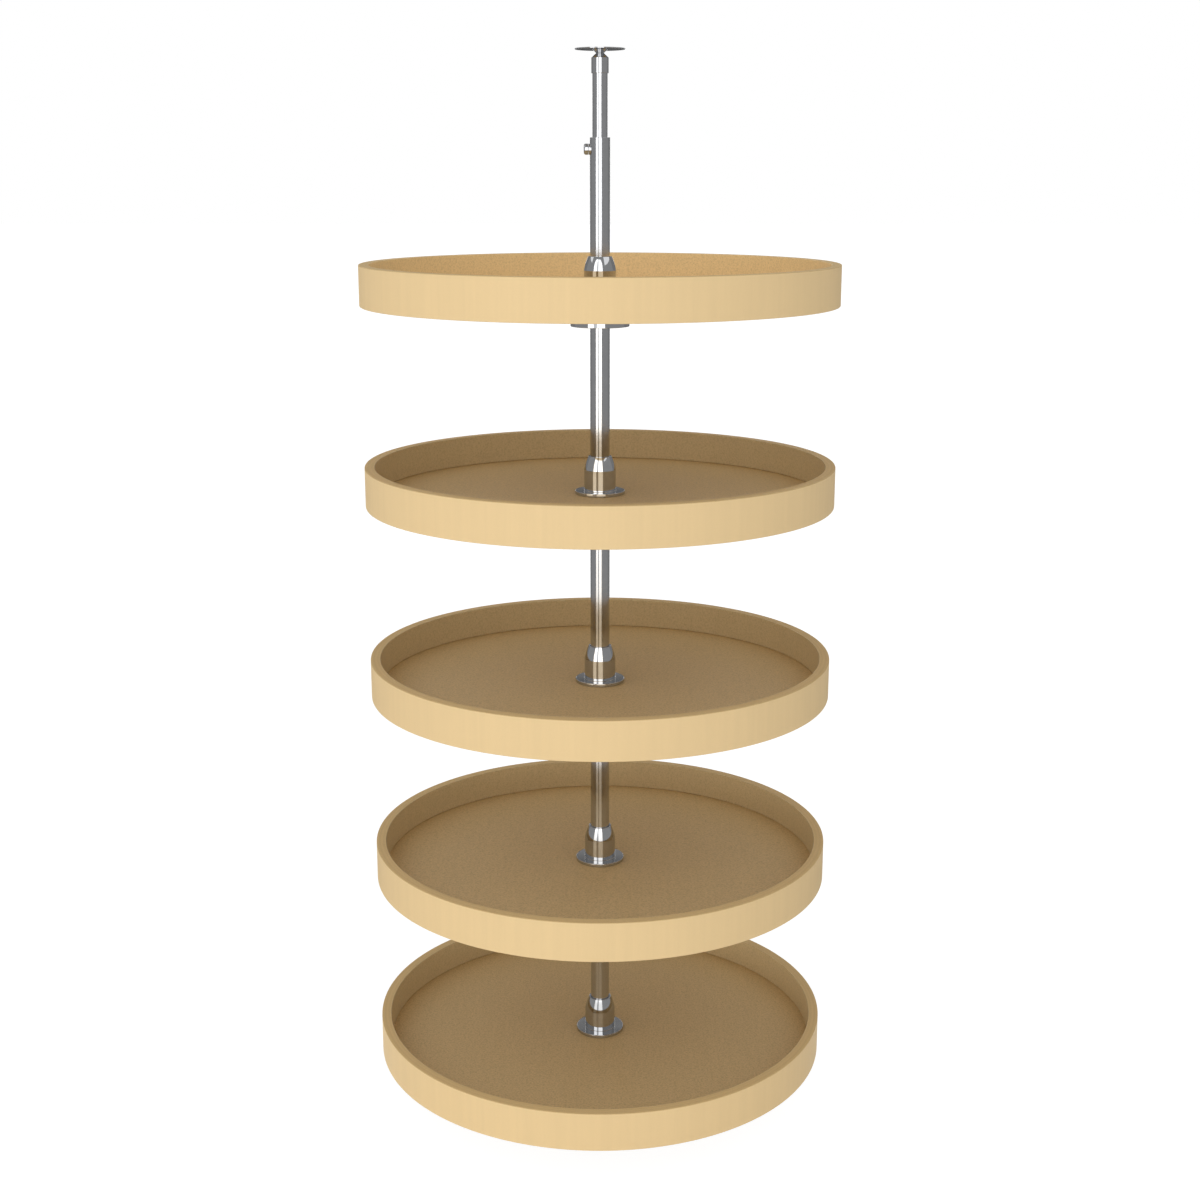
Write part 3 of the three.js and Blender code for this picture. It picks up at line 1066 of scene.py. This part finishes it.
def white_world(scene, ambient, lean, bearing):
    """White to the camera and metal. The rest gets a soft light, brighter from one bearing."""
    world = bpy.data.worlds.new("studio_white")
    scene.world = world
    world.use_nodes = True
    tree = world.node_tree
    tree.nodes.clear()
    direction = add_node(tree, "ShaderNodeTexCoord")
    towards = (math.sin(bearing), -math.cos(bearing), 0)
    facing = add_node(
        tree,
        "ShaderNodeVectorMath",
        {"operation": "DOT_PRODUCT", 1: towards},
        {0: direction.outputs["Generated"]},
    )
    soft_light = add_node(
        tree,
        "ShaderNodeMapRange",
        {"From Min": -1.0, "To Min": ambient * (1 - lean), "To Max": ambient * (1 + lean)},
        {"Value": facing.outputs["Value"]},
    )
    strength = add_node(
        tree,
        "ShaderNodeMapRange",
        {"To Max": 1.0},
        {"Value": seen_ray(tree).outputs[0], "To Min": soft_light.outputs[0]},
    )
    light = add_node(
        tree, "ShaderNodeBackground", {"Color": (1, 1, 1, 1)}, {"Strength": strength.outputs[0]}
    )
    add_node(tree, "ShaderNodeOutputWorld", links={"Surface": light.outputs[0]})


def floor_paper(shadow_share):
    """Matt white paper: seen as white, with the object's shadow on it, and clear from below."""
    material, tree = new_material("studio_paper_white")
    white = rgba(srgb("#FFFFFF"))
    paper = add_node(
        tree, "ShaderNodeBsdfDiffuse", {"Color": rgba(srgb("#F3F3F3")), "Roughness": 0.5}
    )
    # A glow over 1 keeps the paper white where it takes no shadow
    glow = add_node(tree, "ShaderNodeEmission", {"Color": white, "Strength": 1.22})
    share = add_node(
        tree,
        "ShaderNodeMath",
        {"operation": "MULTIPLY", 1: 1 - shadow_share},
        {0: seen_ray(tree).outputs[0]},
    )
    both = add_node(
        tree,
        "ShaderNodeMixShader",
        links={0: share.outputs[0], 1: paper.outputs[0], 2: glow.outputs[0]},
    )
    side = add_node(tree, "ShaderNodeNewGeometry")
    clear = add_node(tree, "ShaderNodeBsdfTransparent")
    one_sided = add_node(
        tree,
        "ShaderNodeMixShader",
        links={0: side.outputs["Backfacing"], 1: both.outputs[0], 2: clear.outputs[0]},
    )
    finish_material(tree, one_sided)
    return material


def card_material(name, at_foot, at_head, levels=(0.3, 1.0)):
    """A white card or cloth whose brightness changes between two levels, in metres."""
    material, tree = new_material(name)
    place = add_node(tree, "ShaderNodeTexCoord")
    height = add_node(tree, "ShaderNodeSeparateXYZ", links={0: place.outputs["Object"]})
    strength = add_node(
        tree,
        "ShaderNodeMapRange",
        {
            "interpolation_type": "SMOOTHSTEP",
            "From Min": levels[0],
            "From Max": levels[1],
            "To Min": at_foot,
            "To Max": at_head,
        },
        {"Value": height.outputs["Z"]},
    )
    glow = add_node(
        tree,
        "ShaderNodeEmission",
        {"Color": rgba(srgb("#FFFFFF"))},
        {"Strength": strength.outputs[0]},
    )
    finish_material(tree, glow)
    return material


# The studio's wall, as (radius, height): its foot comes close, so that it fills low reflections
CARD_OUTLINE = ((0.6, 0.002), (1.6, 0.8), (4.0, 2.6), (4.0, 7.0))
CARD_STEP = 3  # degrees
POWER_OF_AREA = 4.0  # watts that make a square metre of lamp look as bright as white


def card_radius(height):
    """Radius at which the studio's cards stand at a height."""
    for (inner, low_end), (outer, high_end) in zip(CARD_OUTLINE, CARD_OUTLINE[1:]):
        if height <= high_end:
            share = (height - low_end) / (high_end - low_end)
            return inner + (outer - inner) * share
    return CARD_OUTLINE[-1][0]


def card_profile(bottom, top):
    """The studio wall's outline between two heights."""
    between = [point for point in CARD_OUTLINE if bottom < point[1] < top]
    return [(card_radius(bottom), bottom), *between, (card_radius(top), top)]


def curved_card(name, start, end, profile, material, arch=0.0):
    """A card bent round the post between two bearings, in degrees from the front to the right.

    An arched card's top falls by the arch towards its two sides.
    """
    steps = max(2, int(abs(end - start) / CARD_STEP))
    count = len(profile)
    places, faces = [], []
    for step in range(steps + 1):
        share = step / steps
        turn = math.radians(start + (end - start) * share)
        for radius, height in profile:
            places.append((radius * math.sin(turn), -radius * math.cos(turn), height))
        drop = arch * (2 * share - 1) ** 4
        places[-1] = (*places[-1][:2], profile[-1][1] - drop)
    for step in range(steps):
        for i in range(count - 1):
            corner = step * count + i
            faces.append((corner, corner + count, corner + count + 1, corner + 1))
    mesh = bpy.data.meshes.new(name)
    mesh.from_pydata(places, [], faces)
    mesh.materials.append(material)
    card = link(bpy.data.objects.new(name, mesh))
    return reflected_only(card)


def reflected_only(card):
    """Keeps a card or lamp out of the picture and of the light, so that only metal shows it."""
    card.visible_camera = False
    card.visible_diffuse = False
    card.visible_transmission = False
    card.visible_shadow = False
    card.visible_volume_scatter = False
    return card


def slim_lamp(name, bearings, levels, radius, brightness):
    """A slim warm lamp that faces the post, and that only metal shows."""
    start, end = (math.radians(bearing) for bearing in bearings)
    foot, head = levels
    lamp = bpy.data.lights.new(name, "AREA")
    lamp.shape = "RECTANGLE"
    lamp.size, lamp.size_y = 2 * radius * math.sin((end - start) / 2), head - foot
    lamp.color = srgb("#FFECCB")
    lamp.energy = POWER_OF_AREA * lamp.size * lamp.size_y * brightness
    piece = reflected_only(link(bpy.data.objects.new(name, lamp)))
    middle = (start + end) / 2
    away = Vector((math.sin(middle), -math.cos(middle), 0))
    piece.location = radius * away + Vector((0, 0, (foot + head) / 2))
    piece.rotation_euler = (-away).to_track_quat("-Z", "Y").to_euler()


class CAROUSEL_OT_stage(bpy.types.Operator):
    """Sets up the camera, the pale floor, the softbox and the cards that the chrome reflects"""

    bl_idname = "carousel.stage"
    bl_label = "Studio"

    def execute(self, context):
        scene = context.scene
        studio = scene.carousel_studio
        scene.view_settings.view_transform = "Standard"
        camera = bpy.data.objects.new("studio_camera", bpy.data.cameras.new("studio_camera"))
        link(camera)
        camera.data.sensor_width = 36
        camera.data.lens = studio.camera_lens
        camera.location = (0, -studio.camera_distance, studio.camera_height)
        camera.rotation_euler = (math.pi / 2 - studio.camera_pitch, 0, 0)
        scene.camera = camera
        white_world(scene, studio.ambient, studio.ambient_lean, studio.key_bearing)
        self.lay_floor(studio)
        self.hang_key(studio)
        self.stand_cards(studio)
        self.add_gleams(scene.carousel_sizes.hub_crease)
        return {"FINISHED"}

    def lay_floor(self, studio):
        """Lays the paper just under the floor plate."""
        mesh = bpy.data.meshes.new("studio_floor")
        reach, height = 40.0, low("floor_plate")[2] - DEBURRED
        signs = ((-1, -1), (1, -1), (1, 1), (-1, 1))
        places = [(x * reach, y * reach, height) for x, y in signs]
        mesh.from_pydata(places, [], [(0, 1, 2, 3)])
        mesh.materials.append(floor_paper(studio.floor_shadow))
        link(bpy.data.objects.new("studio_floor", mesh))

    def hang_key(self, studio):
        """Hangs the softbox that lights the trays' fronts."""
        lamp = bpy.data.lights.new("key_softbox", "AREA")
        lamp.shape = "RECTANGLE"
        lamp.size, lamp.size_y = 2.4, 0.7
        lamp.energy = studio.key_power
        key = link(bpy.data.objects.new("key_softbox", lamp))
        bearing, distance, height, target = studio.key_bearing, 6.0, 0.35, 0.6
        place = Vector((distance * math.sin(bearing), -distance * math.cos(bearing), height))
        key.location = place
        aim = Vector((0, 0, target)) - place
        key.rotation_euler = aim.to_track_quat("-Z", "Y").to_euler()
        key.visible_camera = False
        key.visible_glossy = False

    def stand_cards(self, studio):
        """A softbox at the front left, high ones at the sides, and grey cards for the rest."""
        bare, bright = studio.grey_card, studio.softbox
        grey = card_material("studio_card_grey", bare, bare)
        dim = card_material("studio_card_dim", 0.75 * bare, 0.75 * bare)
        black = card_material("studio_card_black", 0.1, 0.1)
        # The horizon is what the hubs' flanges mirror, paler at its foot
        horizon = card_material("studio_card_horizon", 0.32, 0.07, (1.16, 1.275))
        cloth = card_material("softbox_cloth", 0.55 * bright, bright)
        seam = card_material("softbox_seam", 0.22 * bright, 0.4 * bright)
        side_cloth = card_material("softbox_side_cloth", 0.5 * bright, 0.5 * bright)
        floor, top = CARD_OUTLINE[0][1], CARD_OUTLINE[-1][1]
        horizon_foot, horizon_top, side_foot = 1.06, 1.45, 3.25
        lit_top, lit_arch = 4.6, 1.3
        plain, shaded = ((floor, top, grey),), ((floor, top, dim),)
        side = ((floor, side_foot, grey), (side_foot, top, side_cloth))
        strip = ((floor, horizon_top, cloth), (horizon_top, top, grey))
        back = (
            (floor, horizon_foot, black),
            (horizon_foot, horizon_top, horizon),
            (horizon_top, top, grey),
        )
        for name, start, end, stack in (
            ("card_front", -46.5, 38.5, plain),
            ("card_right", 38.5, 107, side),
            ("card_right_back", 107, 150, shaded),
            ("card_back_right", 150, 166, back),
            ("strip_back_right", 166, 172, strip),
            ("card_back", 172, 188, back),
            ("strip_back_left", 188, 194, strip),
            ("card_back_left", 194, 210, back),
            ("card_left_back", 210, 246, shaded),
            ("card_left", 246, 287, side),
            ("card_left_front", 287, 313.5, plain),
        ):
            for level, (foot, head, material) in enumerate(stack):
                curved_card(f"{name}_{level}", start, end, card_profile(foot, head), material)
        for name, start, end, nearer, material in (
            ("softbox_front", -46.5, 19, 0.97, cloth),
            ("softbox_joint", -24, -11.5, 0.94, seam),
        ):
            profile = [(nearer * radius, z) for radius, z in card_profile(floor, lit_top)]
            curved_card(name, start, end, profile, material, lit_arch)
        edge = [Corner(0, top), Corner(card_radius(top), top)]
        lid = turned("card_ceiling", edge, [grey], SMALL_ROUND, closed=False)
        reflected_only(lid)

    def add_gleams(self, hub_crease):
        """Lets the post show softboxes where a tray hides them too, fainter lower down."""
        radius, over_crease = 42 * MM, 3 * MM
        brightness = {1: 0.58, 2: 0.58, 3: 0.48, 4: 0.24, 5: 0.08}
        for number in SHELVES:
            seat = low(f"shelf_{number}_top_hub")[2]
            if number == 1:
                end_height = seat + hub_crease + over_crease
            else:
                end_height = low(f"shelf_{number - 1}_support_cup")[2]
            for side, bearings in (("left", (-40, -20.5)), ("front", (-9.8, 16.3))):
                name, levels = f"gleam_{side}_{number}", (seat, end_height)
                slim_lamp(name, bearings, levels, radius, brightness[number])


# Panel


class CAROUSEL_PT_panel(bpy.types.Panel):
    """Lists the carousel's settings and operators in the sidebar"""

    bl_label = "Pantry carousel"
    bl_idname = "CAROUSEL_PT_panel"
    bl_space_type = "VIEW_3D"
    bl_region_type = "UI"
    bl_category = "Carousel"

    def draw(self, context):
        layout = self.layout
        for group in ("carousel_sizes", "carousel_colours", "carousel_studio"):
            settings = getattr(context.scene, group)
            box = layout.box()
            for name in settings.__annotations__:
                box.prop(settings, name)
        for operator in OPERATORS:
            layout.operator(operator.bl_idname)


GROUPS = {
    "carousel_sizes": CarouselSizes,
    "carousel_colours": CarouselColours,
    "carousel_studio": CarouselStudio,
}
OPERATORS = (
    CAROUSEL_OT_stage,
    CAROUSEL_OT_hoops,
    CAROUSEL_OT_boards,
    CAROUSEL_OT_hubs,
    CAROUSEL_OT_cups,
    CAROUSEL_OT_bearing_plates,
    CAROUSEL_OT_bearings,
    CAROUSEL_OT_post,
    CAROUSEL_OT_lock,
    CAROUSEL_OT_top_fitting,
    CAROUSEL_OT_floor_fitting,
)


def register():
    """Registers the settings, operators and panel."""
    for group in GROUPS.values():
        bpy.utils.register_class(group)
    for operator in OPERATORS:
        bpy.utils.register_class(operator)
    bpy.utils.register_class(CAROUSEL_PT_panel)
    for name, group in GROUPS.items():
        setattr(bpy.types.Scene, name, PointerProperty(type=group))


def unregister():
    """Takes them out again."""
    for name in GROUPS:
        delattr(bpy.types.Scene, name)
    bpy.utils.unregister_class(CAROUSEL_PT_panel)
    for operator in reversed(OPERATORS):
        bpy.utils.unregister_class(operator)
    for group in reversed(GROUPS.values()):
        bpy.utils.unregister_class(group)


def main():
    register()
    bpy.ops.carousel.stage()
    bpy.ops.carousel.hoops()
    bpy.ops.carousel.boards()
    bpy.ops.carousel.hubs()
    bpy.ops.carousel.cups()
    bpy.ops.carousel.bearing_plates()
    bpy.ops.carousel.bearings()
    bpy.ops.carousel.post()
    bpy.ops.carousel.lock()
    bpy.ops.carousel.top_fitting()
    bpy.ops.carousel.floor_fitting()


if __name__ == "__main__":
    main()
